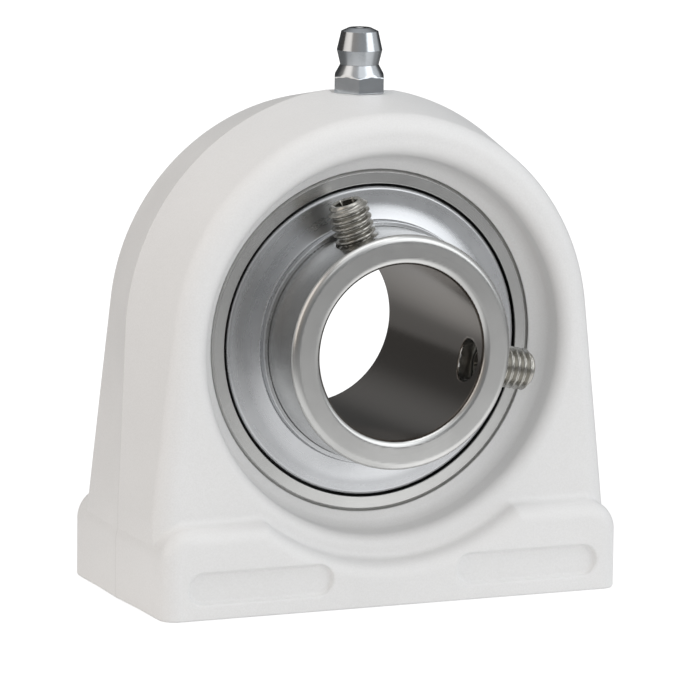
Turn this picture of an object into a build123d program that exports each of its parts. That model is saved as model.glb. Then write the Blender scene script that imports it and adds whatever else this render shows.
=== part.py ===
from build123d import *
import os
from math import acos, atan2, cos, hypot, radians, sin, sqrt, tan

# Tapped-base pillow block: a moulded thermoplastic housing with a spherical seat, a greasable
# insert bearing with two set screws, and a straight grease nipple on top.
# Units are mm. The origin is the centre of the mounting face, +Z is up, the shaft runs along Y
# and the set-screw side faces -Y, which is called the front.

# ---------------------------------------------------------------- driving dimensions
SHAFT_DIAMETER = 25.0
SHAFT_HEIGHT = 36.5            # shaft centre above the mounting face

# housing
BASE_WIDTH = 70.9
BASE_DEPTH = 36.8
BASE_DRAFT = 1.2               # degrees, away from the parting plane at mid-depth
BASE_CORNER = 4.8              # rounding of the base block's corners, seen from the front
BASE_EDGE = 2.4                # rounding of its front and rear edges
FOOT_EDGE = 0.4                # rounding along the mounting face
PAD_HEIGHT = 13.2              # top of the base block
PAD_DIP_MARGIN = 2.8           # the base block's top dips round the shaft, this far outside the recess
PAD_DIP_CORNER = 1.2           # rounding where the dip meets the top
BODY_DEPTH = 29.2
BODY_EDGE = 3.0
BODY_SETBACK = 0.3             # body's side inside the end of the base, in the parting plane
ARCH_DRAW = 2.75               # how much smaller the arch's radius is at the front and rear faces
ARCH_LIFT = 0.15               # how much higher its centre is there
ARCH_WALL = 7.0                # wall of the arch round the recess's mouth, in the parting plane
ARCH_RISE = 1.1                # arch centre above the shaft centre
DISH_MARGIN = 0.8              # floor of the round recess on each face, outside the sphere
DISH_FLARE = 0.4               # how much wider its mouth is than its floor
DISH_FLOOR_RISE = 1.0          # its floor's rim in front of the outer ring's face
DISH_LIP = 1.8
DISH_ROOT = 1.0
SLOT_LENGTH = 21.9             # shallow recesses on the base block's front and rear
SLOT_HEIGHT = 4.5
SLOT_DEPTH = 0.9
SLOT_END = 3.95                # from a recess's outer end to the end of the base
SLOT_RISE = 4.5                # their centre line above the mounting face

# base fastening
BOLT_EDGE = 10.05              # bolt axis from the end of the base
BOLT_BORE_DIAMETER = 8.5       # tapping size of the M10 thread
INSERT_DIAMETER = 13.0
INSERT_LENGTH = 15.0
INSERT_GROOVE_DEPTH = 0.7
INSERT_GROOVE_WIDTH = 1.6
INSERT_GROOVES = 3
INSERT_FIT = 0.02
BOLT_RUNOUT = 3.0              # room above the insert for the bolt's end

# insert bearing
SPHERE_DIAMETER = 52.0
PITCH_OFFSET = 0.54            # pitch circle over the mean of bore and sphere
OUTER_RACE_DEPTH = 1.519       # race grooves below their lands
INNER_RACE_DEPTH = 1.229
SEAL_SEAT_DEPTH = 0.85         # seal seat and mouth outside the outer ring's land
MOUTH_DEPTH = 0.55
SEAL_SEAT_SETBACK = 1.5        # seal seat behind the ring's face
SEAL_SEAT_WIDTH = 1.8
OUTER_RING_CHAMFER = 0.4
INNER_RING_EDGE = 1.0
INNER_RING_TAIL = 3.7          # inner ring's rear face behind the rear flinger
BORE_EDGE = 0.5
BALL_DIAMETER = 7.938
BALL_COUNT = 9
RACE_CONFORMITY = 0.52         # race groove radius over ball diameter
BALL_PLAY = 0.03               # radial gap between a ball and each race
SEAT_CLEARANCE = 0.03          # outer ring in the housing's spherical seat
GROOVE_OFFSET = 4.0            # lubrication groove of the outer ring, towards the front
GROOVE_WIDTH = 1.6
GROOVE_DEPTH = 0.5
GREASE_HOLE_DIAMETER = 1.2

# cage
CAGE_WIDTH = 3.2               # radial width of the ribbon
CAGE_SHEET = 0.6
POCKET_PLAY = 0.1
RIVET_DIAMETER = 1.1
RIVET_HEAD_DIAMETER = 1.9
RIVET_HEAD_TOP_DIAMETER = 1.14
RIVET_HEAD_HEIGHT = 0.45

# seals and flingers
SEAL_CAGE_GAP = 0.531          # steel washer in front of the cage
SEAL_PLATE_SHEET = 0.6
SEAL_PLATE_GAP = 1.55          # washer's bore round the inner ring
SEAL_RUBBER_THICKNESS = 0.9
SEAL_LIP_CLEARANCE = 0.03
SEAL_LIP_WIDTH = 0.3
SEAL_HEEL = 0.5                # rubber inside the steel washer's bore
SEAL_FIT = 0.02
FLINGER_GAP = 0.3              # flinger's rim inside the outer ring's mouth
FLINGER_SHEET = 0.7
FLINGER_STANDOFF = 0.2         # rim of the flinger's disc in front of the outer ring's face
FLINGER_DISH = 0.35            # how far its middle sinks below its rim
FLINGER_DISH_EDGE = 0.5        # rounding at the foot of the collar
FLINGER_RIM_CLEARANCE = 0.55   # turned-back rim in front of the seal rubber
FLINGER_RIM_EDGE = 0.45
FLINGER_COLLAR_RISE = 1.9      # collar's end in front of the rim
FLINGER_COLLAR_EDGE = 0.2
FLINGER_FIT = 0.01

# set screws
SCREW_DIAMETER = 6.0
SCREW_LENGTH = 8.0
SCREW_SETBACK = 5.0            # screw axis behind the inner ring's front face
SCREW_COLLAR_GAP = 1.2         # screw in front of the flinger's collar
SCREW_BACKOFF = 1.7            # cup point above the shaft while the screw is slack
SCREW_ANGLE = -18.5            # first screw, degrees from +Z towards +X
SCREW_ANGLE_STEP = 120.0
SCREW_HEX = 3.0
SCREW_SOCKET_DEPTH = 3.0
SCREW_EDGE = 0.5
SCREW_CUP_DIAMETER = 3.0
SCREW_CUP_DEPTH = 0.8
SCREW_CUP_RIM = 0.3            # flat ring round the cup
SCREW_FIT = 0.04

# grease nipple
NIPPLE_OFFSET = 1.25           # the nipple stands this far to the right of the shaft axis
NIPPLE_SPOT_DIAMETER = 9.4
NIPPLE_SPOT_DEPTH = 0.7        # spot face below the arch's crown
NIPPLE_HEX = 7.0
NIPPLE_HEX_HEIGHT = 2.4
NIPPLE_HEX_CHAMFER = 1.0       # height of the cone that trims the hexagon's upper corners
NIPPLE_HEX_TURN = -23.5        # degrees from the front to one hexagon corner
NIPPLE_CONE_DIAMETER = 7.2
NIPPLE_NECK_DIAMETER = 5.5
NIPPLE_NECK_HEIGHT = 3.95
NIPPLE_HEAD_DIAMETER = 6.5
NIPPLE_HEAD_HEIGHT = 6.05      # height of the head's widest ring
NIPPLE_HEAD_EDGE = 0.6
NIPPLE_TOP_DIAMETER = 5.3
NIPPLE_CROWN_DIAMETER = 3.2
NIPPLE_CROWN_RISE = 0.5        # crown above the top edge of the head's cone
NIPPLE_HEIGHT = 9.2
NIPPLE_THREAD_DIAMETER = 6.0
NIPPLE_THREAD_LENGTH = 5.2
NIPPLE_THREAD_CHAMFER = 0.5
NIPPLE_THREAD_FIT = 0.02
NIPPLE_BORE_DIAMETER = 2.6
NIPPLE_SEAT_LENGTH = 1.0       # cone that narrows the bore to its mouth and seats the ball
NIPPLE_MOUTH_DIAMETER = 1.6
NIPPLE_CRIMP_DIAMETER = 1.6    # turned-in lower end that holds the spring
NIPPLE_CRIMP_HEIGHT = 0.5
NIPPLE_BALL_DIAMETER = 2.2
NIPPLE_BALL_GAP = 0.02
SPRING_WIRE = 0.32
SPRING_DIAMETER = 1.8          # mean diameter of the coils
SPRING_TURNS = 7
SPRING_GAP = 0.04
PASSAGE_DIAMETER = 2.6
SEAT_GROOVE_OFFSET = 1.7       # lubrication groove in the housing's seat, towards the front
SEAT_GROOVE_WIDTH = 6.6
SEAT_GROOVE_DEPTH = 0.6

TRIM = 5.0                     # how far cutting shapes run past what they cut

# ---------------------------------------------------------------- sizes that follow
shaft_axis = Location((0, 0, SHAFT_HEIGHT))
sphere_radius = SPHERE_DIAMETER / 2
pitch_radius = (SHAFT_DIAMETER + SPHERE_DIAMETER) / 4 + PITCH_OFFSET / 2
ball_radius = BALL_DIAMETER / 2
race_radius = BALL_DIAMETER * RACE_CONFORMITY
outer_race = pitch_radius + ball_radius + BALL_PLAY
inner_race = pitch_radius - ball_radius - BALL_PLAY
outer_land = outer_race - OUTER_RACE_DEPTH
inner_radius = inner_race + INNER_RACE_DEPTH
seal_seat_radius = outer_land + SEAL_SEAT_DEPTH
mouth_radius = outer_land + MOUTH_DEPTH

# distances from the centre plane, which the cage, seals and flingers set from the inside out
pocket_radius = ball_radius + POCKET_PLAY
seal_back = pocket_radius + CAGE_SHEET + SEAL_CAGE_GAP
rubber_front = seal_back + SEAL_PLATE_SHEET + SEAL_RUBBER_THICKNESS
seal_front = seal_back + SEAL_SEAT_WIDTH
ring_face = seal_front + SEAL_SEAT_SETBACK
flinger_face = ring_face + FLINGER_STANDOFF
collar_end = flinger_face + FLINGER_COLLAR_RISE
screw_y = -(collar_end + SCREW_COLLAR_GAP + SCREW_DIAMETER / 2)
inner_front = screw_y - SCREW_SETBACK
inner_rear = collar_end + INNER_RING_TAIL
seat_edge = sqrt(sphere_radius**2 - ring_face**2)

body_face = BODY_DEPTH / 2
dish_floor_radius = sphere_radius + DISH_MARGIN
dish_radius = dish_floor_radius + DISH_FLARE
arch_radius = dish_radius + ARCH_WALL
arch_z = SHAFT_HEIGHT + ARCH_RISE
crown_z = arch_z + arch_radius
pad_dip_radius = dish_radius + PAD_DIP_MARGIN
bolt_x = BASE_WIDTH / 2 - BOLT_EDGE
slot_x = (BASE_WIDTH - SLOT_LENGTH) / 2 - SLOT_END
nipple_z = crown_z - NIPPLE_SPOT_DEPTH
nipple_place = Location((NIPPLE_OFFSET, 0, nipple_z))
nipple_top = NIPPLE_HEIGHT - NIPPLE_CROWN_RISE
nipple_bore_top = NIPPLE_HEIGHT - NIPPLE_SEAT_LENGTH


def turned(points):
    """Solid of revolution about the shaft axis; points are (radius, y)."""
    outline = Polyline([Vector(r, y, 0) for r, y in points], close=True)
    return shaft_axis * revolve(make_face(outline), Axis.Y, 360)


def rounded_turned(points, roundings):
    """As turned, with outline corners rounded; roundings maps (radius, y) to a radius."""
    face = make_face(Polyline([Vector(r, y, 0) for r, y in points], close=True))
    for spot, size in roundings.items():
        corner = min(face.vertices(), key=lambda v: (Vector(*spot, 0) - Vector(v.X, v.Y, v.Z)).length)
        face = fillet([corner], size)
    return shaft_axis * revolve(face, Axis.Y, 360)


def drum(diameter, front, rear):
    """Cylinder on the shaft axis from y = front to y = rear."""
    return turned([(0, front), (diameter / 2, front), (diameter / 2, rear), (0, rear)])


def standing_cylinder(radius, length):
    """Cylinder that stands on its local origin and runs along +Z."""
    return Cylinder(radius, length, align=(Align.CENTER, Align.CENTER, Align.MIN))


def rear_of(part):
    """The same piece on the rear side of the centre plane."""
    return mirror(part, Plane.XZ)


# ---------------------------------------------------------------- housing
def body_outline(radius, centre_z, foot_x, setback):
    """Arch whose tangent sides pass the pad at foot_x, this far in front of the parting plane."""
    drop = centre_z - PAD_HEIGHT
    lean = acos(radius / hypot(foot_x, drop)) - atan2(drop, foot_x)
    tangent_x, tangent_z = radius * cos(lean), centre_z + radius * sin(lean)
    low_x = tangent_x + (tangent_z + TRIM) * tan(lean)
    with BuildSketch(Plane.XZ.offset(setback)) as sketch:
        with BuildLine():
            ThreePointArc((-tangent_x, tangent_z), (0, centre_z + radius), (tangent_x, tangent_z))
            Polyline((tangent_x, tangent_z), (low_x, -TRIM), (-low_x, -TRIM), (-tangent_x, tangent_z))
        make_face()
    return sketch.sketch


def body_half():
    """Front half of the body: its sides draw in from the parting plane to a rounded front edge."""
    foot_x = BASE_WIDTH / 2 - BODY_SETBACK
    middle = body_outline(arch_radius, arch_z, foot_x, 0)
    face_foot_x = foot_x - body_face * tan(radians(BASE_DRAFT))
    face = body_outline(arch_radius - ARCH_DRAW, arch_z + ARCH_LIFT, face_foot_x, body_face)
    half = loft([middle, face], ruled=True)
    front_edges = half.faces().sort_by(Axis.Y)[0].edges()
    half = fillet(front_edges.sort_by(Axis.Z)[1:], BODY_EDGE)
    between_ends = Plane.XZ * Rectangle(2 * foot_x, 2 * (crown_z + TRIM))
    return half & extrude(between_ends, body_face, taper=BASE_DRAFT)


def base_half():
    """Front half of the base: rounded corners, and a top that dips round the shaft centre."""
    outline = Plane.XZ * Location((0, (PAD_HEIGHT - TRIM) / 2)) * Rectangle(BASE_WIDTH, PAD_HEIGHT + TRIM)
    outline -= Plane.XZ * Location((0, SHAFT_HEIGHT)) * Circle(pad_dip_radius)
    corners = outline.vertices().filter_by(lambda v: v.Z > 0).sort_by(lambda v: abs(v.X))
    outline = fillet(corners[:2], PAD_DIP_CORNER)
    corners = outline.vertices().filter_by(lambda v: v.Z > 0).sort_by(lambda v: abs(v.X))
    outline = fillet(corners[-2:], BASE_CORNER)
    block = extrude(outline, BASE_DEPTH / 2, taper=BASE_DRAFT)
    front_edges = block.faces().sort_by(Axis.Y)[0].edges()
    return fillet(front_edges.sort_by(Axis.Z)[1:], BASE_EDGE)


def dish():
    """Round recess in the front face, down to the spherical seat's edge."""
    mouth, floor = (dish_radius, -body_face), (dish_floor_radius, -ring_face - DISH_FLOOR_RISE)
    points = [(0, -body_face - TRIM), (pad_dip_radius, -body_face - TRIM), (pad_dip_radius, -body_face),
              mouth, floor, (seat_edge, -ring_face), (0, -ring_face)]
    return rounded_turned(points, {mouth: DISH_LIP, floor: DISH_ROOT})


def loading_slots():
    """Two rear notches that let the insert in edgewise before it is turned into its seat."""
    passage = drum(SPHERE_DIAMETER + 2 * SEAT_CLEARANCE, 0, body_face + TRIM)
    slab = shaft_axis * Box(BASE_WIDTH, BASE_DEPTH * 2, 2 * (ring_face + SEAT_CLEARANCE))
    return passage & slab


def front_slots():
    """Shallow slot-shaped recesses on the front of the base block."""
    pads = Plane((0, -BASE_DEPTH / 2, SLOT_RISE), x_dir=(1, 0, 0), z_dir=(0, -1, 0))
    outline = Sketch() + [pads * spot * SlotOverall(SLOT_LENGTH, SLOT_HEIGHT)
                          for spot in GridLocations(2 * slot_x, 0, 2, 1)]
    return extrude(outline, SLOT_DEPTH, both=True)


def housing():
    half = body_half() + base_half()
    shell = half + rear_of(half)
    shell -= Location((0, 0, -TRIM)) * Box(3 * BASE_WIDTH, 3 * BASE_DEPTH, 2 * TRIM)
    foot = shell.faces().sort_by(Axis.Z)[0].edges()
    shell = fillet(foot, FOOT_EDGE)
    shell -= dish() + rear_of(dish())
    shell -= shaft_axis * Sphere(sphere_radius + SEAT_CLEARANCE)
    shell -= drum(2 * seat_edge, -body_face, body_face)
    shell -= loading_slots()
    groove = SPHERE_DIAMETER + 2 * SEAT_GROOVE_DEPTH
    middle, reach = -SEAT_GROOVE_OFFSET, SEAT_GROOVE_WIDTH / 2
    shell -= drum(groove, middle - reach, middle + reach)
    slots = front_slots()
    shell -= slots + rear_of(slots)
    shell -= nipple_hole()
    for x in (-bolt_x, bolt_x):
        shell -= Location((x, 0, 0)) * insert_body(INSERT_FIT)
        shell -= Location((x, 0, INSERT_LENGTH)) * standing_cylinder(BOLT_BORE_DIAMETER / 2, BOLT_RUNOUT)
    return shell


def nipple_hole():
    """Spot face, threaded hole and grease passage through the arch's crown."""
    hole = standing_cylinder(NIPPLE_SPOT_DIAMETER / 2, TRIM)
    thread = NIPPLE_THREAD_DIAMETER / 2 + NIPPLE_THREAD_FIT
    down = Rotation(180, 0, 0)
    hole += down * standing_cylinder(thread, NIPPLE_THREAD_LENGTH + NIPPLE_THREAD_FIT)
    hole += down * standing_cylinder(PASSAGE_DIAMETER / 2, nipple_z - SHAFT_HEIGHT)
    return nipple_place * hole


# ---------------------------------------------------------------- base inserts
def insert_body(fit=0.0):
    """Outer form of a moulded-in threaded insert, with its holding grooves."""
    outer = INSERT_DIAMETER / 2 + fit
    form = standing_cylinder(outer, INSERT_LENGTH + fit)
    step = INSERT_LENGTH / (INSERT_GROOVES + 1)
    for n in range(1, INSERT_GROOVES + 1):
        groove = Cylinder(outer + TRIM, INSERT_GROOVE_WIDTH - 2 * fit)
        groove -= Cylinder(outer - INSERT_GROOVE_DEPTH, INSERT_GROOVE_WIDTH)
        form -= Location((0, 0, n * step)) * groove
    return form


def threaded_insert(side):
    """Metal bush for one base bolt; its bore has the thread's tapping size."""
    bush = insert_body() - Cylinder(BOLT_BORE_DIAMETER / 2, 3 * INSERT_LENGTH)
    return Location((side * bolt_x, 0, 0)) * bush


# ---------------------------------------------------------------- insert bearing
def race_groove(bottom_radius, inward):
    """Torus that cuts a race whose deepest circle has the given radius."""
    centre = bottom_radius + race_radius if inward else bottom_radius - race_radius
    return shaft_axis * Rotation(90, 0, 0) * Torus(centre, race_radius)


def outer_ring():
    face = ring_face
    ring = shaft_axis * Sphere(sphere_radius) & drum(SPHERE_DIAMETER + 2 * TRIM, -face, face)
    ring -= drum(2 * outer_land, -face - TRIM, face + TRIM)
    for side in (-1, 1):
        ring -= drum(2 * seal_seat_radius, side * seal_back, side * seal_front)
        ring -= drum(2 * mouth_radius, side * seal_front, side * (face + TRIM))
        low = side * (face - OUTER_RING_CHAMFER)
        ring -= turned([(seat_edge - OUTER_RING_CHAMFER, side * face), (seat_edge, low),
                        (seat_edge + TRIM, low), (seat_edge + TRIM, side * face)])
    ring -= race_groove(outer_race, inward=False)
    front, rear = -GROOVE_OFFSET - GROOVE_WIDTH / 2, -GROOVE_OFFSET + GROOVE_WIDTH / 2
    bottom, beyond = sphere_radius - GROOVE_DEPTH, sphere_radius + TRIM
    ring -= turned([(bottom, front), (bottom, rear), (beyond, rear), (beyond, front)])
    hole = standing_cylinder(GREASE_HOLE_DIAMETER / 2, sphere_radius)
    return ring - Location((0, -GROOVE_OFFSET, SHAFT_HEIGHT + pitch_radius)) * hole


def screw_frames():
    """The set screws' places: +Z of each runs outward along its screw from the shaft axis."""
    places = []
    for n in range(2):
        turn = SCREW_ANGLE + n * SCREW_ANGLE_STEP
        places.append(shaft_axis * Location((0, screw_y, 0)) * Rotation(0, turn, 0))
    return places


def inner_ring():
    bore, out = SHAFT_DIAMETER / 2, inner_radius
    corners = [(bore, inner_front), (out, inner_front), (out, inner_rear), (bore, inner_rear)]
    sizes = dict(zip(corners, (BORE_EDGE, INNER_RING_EDGE, INNER_RING_EDGE, BORE_EDGE)))
    ring = rounded_turned(corners, sizes)
    ring -= race_groove(inner_race, inward=True)
    hole = standing_cylinder(SCREW_DIAMETER / 2 + SCREW_FIT, out + TRIM)
    for place in screw_frames():
        ring -= place * hole
    return ring


def ball_places():
    """Centres of the balls, evenly spaced on the pitch circle from the top."""
    turns = [360 / BALL_COUNT * n for n in range(BALL_COUNT)]
    return [shaft_axis * Rotation(0, turn, 0) * Location((0, 0, pitch_radius)) for turn in turns]


def web_places():
    """Middles of the cage's webs, half a step on from the balls."""
    turns = [360 / BALL_COUNT * (n + 0.5) for n in range(BALL_COUNT)]
    return [shaft_axis * Rotation(0, turn, 0) * Location((0, 0, pitch_radius)) for turn in turns]


def cage_half():
    """Front half of the pressed ribbon cage: a flat band with a bulge over each ball."""
    outside, inside = 2 * pitch_radius + CAGE_WIDTH, 2 * pitch_radius - CAGE_WIDTH
    bulge = pocket_radius + CAGE_SHEET
    reach = drum(outside, -bulge, 0)
    half = drum(outside, -CAGE_SHEET, 0) + [place * Sphere(bulge) & reach for place in ball_places()]
    half -= drum(inside, -BALL_DIAMETER, BALL_DIAMETER)
    half -= [place * Sphere(pocket_radius) for place in ball_places()]
    shank = Rotation(90, 0, 0) * Cylinder(RIVET_DIAMETER / 2, 2 * BALL_DIAMETER)
    return half - [place * shank for place in web_places()]


def cage_rivets():
    """One rivet through each web, headed on both sides."""
    half_length = CAGE_SHEET + RIVET_HEAD_HEIGHT
    shank, head, top = RIVET_DIAMETER / 2, RIVET_HEAD_DIAMETER / 2, RIVET_HEAD_TOP_DIAMETER / 2
    points = [(0, -half_length), (top, -half_length), (head, -CAGE_SHEET), (shank, -CAGE_SHEET),
              (shank, CAGE_SHEET), (head, CAGE_SHEET), (top, half_length), (0, half_length)]
    rivet = revolve(make_face(Polyline([Vector(x, y, 0) for x, y in points], close=True)), Axis.Y, 360)
    return [place * rivet for place in web_places()]


def seal_plate():
    """Steel washer against the shoulder of the outer ring's seal seat, front side."""
    out, bore = seal_seat_radius - SEAL_FIT, inner_radius + SEAL_PLATE_GAP
    back, front = -seal_back, -seal_back - SEAL_PLATE_SHEET
    return turned([(bore, back), (out, back), (out, front), (bore, front)])


def seal_rubber():
    """Rubber bonded on the washer, with a lip that runs on the inner ring."""
    out, bore = seal_seat_radius - SEAL_FIT, inner_radius + SEAL_PLATE_GAP
    back, front = -seal_back - SEAL_PLATE_SHEET, -rubber_front
    lip, heel = inner_radius + SEAL_LIP_CLEARANCE, bore - SEAL_HEEL
    return turned([(out, back), (out, front), (bore, front), (lip, front - SEAL_LIP_WIDTH / 2),
                   (lip, front + SEAL_LIP_WIDTH / 2), (heel, back), (heel, -seal_back),
                   (bore, -seal_back), (bore, back)])


def flinger():
    """Pressed steel disc on the inner ring, with a turned-back rim and a collar."""
    rim, collar = mouth_radius - FLINGER_GAP, inner_radius + FLINGER_FIT
    face, sheet, edge = -flinger_face, FLINGER_SHEET, -rubber_front - FLINGER_RIM_CLEARANCE
    sunk, outer = face + FLINGER_DISH, collar + sheet
    points = [(collar, -collar_end), (outer, -collar_end), (outer, sunk), (rim, face), (rim, edge),
              (rim - sheet, edge), (rim - sheet, face + sheet), (outer, sunk + sheet),
              (collar, sunk + sheet)]
    rounds = {(outer, sunk): FLINGER_DISH_EDGE, (rim, face): FLINGER_RIM_EDGE,
              (outer, -collar_end): FLINGER_COLLAR_EDGE}
    return rounded_turned(points, rounds)


def set_screw(place):
    """Headless set screw with a hexagon socket and a cup point; its thread isn't modelled."""
    tip, out = SHAFT_DIAMETER / 2 + SCREW_BACKOFF, SCREW_DIAMETER / 2
    end = tip + SCREW_LENGTH
    cup = SCREW_CUP_DIAMETER / 2
    land = cup + SCREW_CUP_RIM
    points = [(0, tip + SCREW_CUP_DEPTH), (cup, tip), (land, tip), (out, tip + out - land),
              (out, end - SCREW_EDGE), (out - SCREW_EDGE, end), (0, end)]
    screw = revolve(make_face(Polyline([Vector(x, 0, z) for x, z in points], close=True)), Axis.Z, 360)
    socket = extrude(RegularPolygon(SCREW_HEX / 2, 6, major_radius=False), SCREW_SOCKET_DEPTH + TRIM)
    return place * (screw - Location((0, 0, end - SCREW_SOCKET_DEPTH)) * socket)


# ---------------------------------------------------------------- grease nipple
def grease_nipple():
    neck, head, top = NIPPLE_NECK_DIAMETER / 2, NIPPLE_HEAD_DIAMETER / 2, NIPPLE_TOP_DIAMETER / 2
    shank, crown = NIPPLE_THREAD_DIAMETER / 2, NIPPLE_CROWN_DIAMETER / 2
    bore, mouth, crimp = NIPPLE_BORE_DIAMETER / 2, NIPPLE_MOUTH_DIAMETER / 2, NIPPLE_CRIMP_DIAMETER / 2
    foot, chamfer = -NIPPLE_THREAD_LENGTH, NIPPLE_THREAD_CHAMFER
    points = [(crimp, foot), (shank - chamfer, foot), (shank, foot + chamfer), (shank, 0), (NIPPLE_HEX, 0),
              (NIPPLE_HEX, NIPPLE_HEX_HEIGHT - NIPPLE_HEX_CHAMFER),
              (NIPPLE_CONE_DIAMETER / 2, NIPPLE_HEX_HEIGHT),
              (neck, NIPPLE_NECK_HEIGHT), (head, NIPPLE_HEAD_HEIGHT), (top, nipple_top),
              (crown, NIPPLE_HEIGHT), (mouth, NIPPLE_HEIGHT), (bore, nipple_bore_top),
              (bore, foot + NIPPLE_CRIMP_HEIGHT), (crimp, foot + NIPPLE_CRIMP_HEIGHT)]
    face = make_face(Polyline([Vector(x, 0, z) for x, z in points], close=True))
    corner = min(face.vertices(), key=lambda v: hypot(v.X - head, v.Z - NIPPLE_HEAD_HEIGHT))
    form = revolve(fillet([corner], NIPPLE_HEAD_EDGE), Axis.Z, 360)
    hexagon = extrude(RegularPolygon(NIPPLE_HEX / 2, 6, major_radius=False), NIPPLE_HEIGHT, both=True)
    form &= Rotation(0, 0, NIPPLE_HEX_TURN - 90) * hexagon
    return nipple_place * form


def ball_seat_height():
    """Height of the closed ball's centre above the nipple's seat."""
    inset = (NIPPLE_BORE_DIAMETER - NIPPLE_MOUTH_DIAMETER) / 2
    lean = atan2(inset, NIPPLE_SEAT_LENGTH)
    touch = NIPPLE_BALL_DIAMETER / 2 + NIPPLE_BALL_GAP
    cone_tip = NIPPLE_HEIGHT + NIPPLE_MOUTH_DIAMETER / 2 / tan(lean)
    return cone_tip - touch / sin(lean)


def nipple_ball():
    return nipple_place * Location((0, 0, ball_seat_height())) * Sphere(NIPPLE_BALL_DIAMETER / 2)


def nipple_spring():
    """Coil spring between the crimped lower end and the ball."""
    wire, mean = SPRING_WIRE / 2, SPRING_DIAMETER / 2
    foot = -NIPPLE_THREAD_LENGTH + NIPPLE_CRIMP_HEIGHT + wire + SPRING_GAP
    reach = NIPPLE_BALL_DIAMETER / 2 + wire + SPRING_GAP
    head = ball_seat_height() - sqrt(reach**2 - mean**2)
    path = Helix((head - foot) / SPRING_TURNS, head - foot, mean)
    section = Plane(path @ 0, z_dir=path % 0) * Circle(wire)
    return nipple_place * Location((0, 0, foot)) * sweep(section, path=path)


# ---------------------------------------------------------------- files
def build():
    parts = {
        "housing": housing(),
        "threaded_insert_left": threaded_insert(-1),
        "threaded_insert_right": threaded_insert(1),
        "grease_nipple": grease_nipple(),
        "nipple_ball": nipple_ball(),
        "nipple_spring": nipple_spring(),
        "outer_ring": outer_ring(),
        "inner_ring": inner_ring(),
        "seal_plate_front": seal_plate(),
        "seal_plate_rear": rear_of(seal_plate()),
        "seal_rubber_front": seal_rubber(),
        "seal_rubber_rear": rear_of(seal_rubber()),
        "flinger_front": flinger(),
        "flinger_rear": rear_of(flinger()),
        "cage_half_front": cage_half(),
        "cage_half_rear": rear_of(cage_half()),
        "cage_rivets": Compound(cage_rivets()),
    }
    for n, place in enumerate(ball_places(), start=1):
        parts[f"ball_{n}"] = place * Sphere(ball_radius)
    for side, place in zip(("left", "right"), screw_frames()):
        parts[f"set_screw_{side}"] = set_screw(place)
    return parts


os.makedirs("parts", exist_ok=True)
for name, part in build().items():
    export_step(part, f"parts/{name}.step")
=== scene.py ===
from math import atan2, cos, hypot, pi, radians, sin, sqrt, tan

import bmesh
import bpy
import numpy as np
from mathutils import Matrix, Vector


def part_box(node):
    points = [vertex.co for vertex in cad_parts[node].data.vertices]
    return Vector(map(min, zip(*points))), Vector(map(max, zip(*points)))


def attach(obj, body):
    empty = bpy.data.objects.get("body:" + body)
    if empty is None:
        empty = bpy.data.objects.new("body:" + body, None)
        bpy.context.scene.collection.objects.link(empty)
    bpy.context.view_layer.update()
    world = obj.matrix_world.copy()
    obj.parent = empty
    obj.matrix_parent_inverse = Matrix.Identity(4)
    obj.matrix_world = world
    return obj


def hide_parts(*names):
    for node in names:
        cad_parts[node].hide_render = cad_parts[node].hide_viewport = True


# Pillow block bearing: moulded plastic housing, greasable insert bearing with two set screws,
# grease nipple and two threaded inserts underneath. Shapes are worked out in mm and placed in metres.
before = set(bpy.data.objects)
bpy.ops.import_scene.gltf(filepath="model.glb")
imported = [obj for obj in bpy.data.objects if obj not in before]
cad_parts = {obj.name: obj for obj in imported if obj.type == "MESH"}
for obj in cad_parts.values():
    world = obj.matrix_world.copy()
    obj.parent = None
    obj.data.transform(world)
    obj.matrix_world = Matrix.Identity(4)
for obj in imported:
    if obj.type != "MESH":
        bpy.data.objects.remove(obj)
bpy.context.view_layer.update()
MM = 0.001

# ---------------------------------------------------------------- sizes, in mm
SHAFT_Z = 36.5                 # shaft centre above the mounting face
BORE_R = 12.5

# housing
HALF_WIDTH = 35.45
HALF_BASE = 18.4
BASE_DRAFT = tan(radians(1.2))
BASE_CORNER = 4.8
BASE_EDGE = 2.4
FOOT_EDGE = 0.4
PAD_TOP = 13.2
PAD_DIP_R = 30.0
PAD_DIP_CORNER = 1.2
PAD_ROOT = 1.0                 # rounding where the body stands on the base block
PAD_ROOT_END = 35.05           # it fades out towards this x
PAD_ROOT_FADE = 3.5
BODY_FACE = 14.6
BODY_EDGE = 3.0
BODY_FOOT = (35.15, 34.844)    # (in the parting plane, at the front and rear faces), as the next two
ARCH_R = (34.2, 31.45)
ARCH_Z = (37.6, 37.75)
DISH_MOUTH = (27.2, 14.6)      # (radius, distance from the centre plane)
DISH_FLOOR = (26.8, 9.5)
SEAT_MOUTH = (24.57, 8.5)
DISH_LIP = 1.8                 # rounding at the dish's mouth, and at its foot
DISH_ROOT = 1.0
SEAM_START = 29.5              # the mould's parting line shows outside this radius
SPHERE_R = 26.0
SEAT_GAP = 0.03
SEAT_EDGE = 0.05
SEAT_MOUTH_EDGE = 0.2
NOTCH_EDGE = 0.4               # rounding of the two loading slots at the rear
SEAT_GROOVE = (26.6, -1.7, 3.3)  # (radius, y of its middle, half width) of the grease groove in the seat
SLOT_X = 20.55                 # shallow slots on the base block's front and rear
SLOT_HALF = 8.7
SLOT_Z = 4.5
SLOT_R = 2.25
SLOT_DEPTH = 0.9
SLOT_ROOT = 0.5
SLOT_EDGE = 0.35
BOLT_X = 25.4
INSERT_R = 6.5
INSERT_LENGTH = 15.0
INSERT_EDGE = 0.2
INSERT_GROOVES = (3.75, 7.5, 11.25)  # heights of the holding grooves' middles
INSERT_GROOVE_DEPTH = 0.7
INSERT_GROOVE_HALF = 0.8
INSERT_CHAMFER = 0.5
INSERT_PITCH = 1.5
INSERT_RIDGE = 0.72            # depth of its thread
BOLT_HOLE_R = 4.25
RUNOUT_TOP = 18.0
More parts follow.
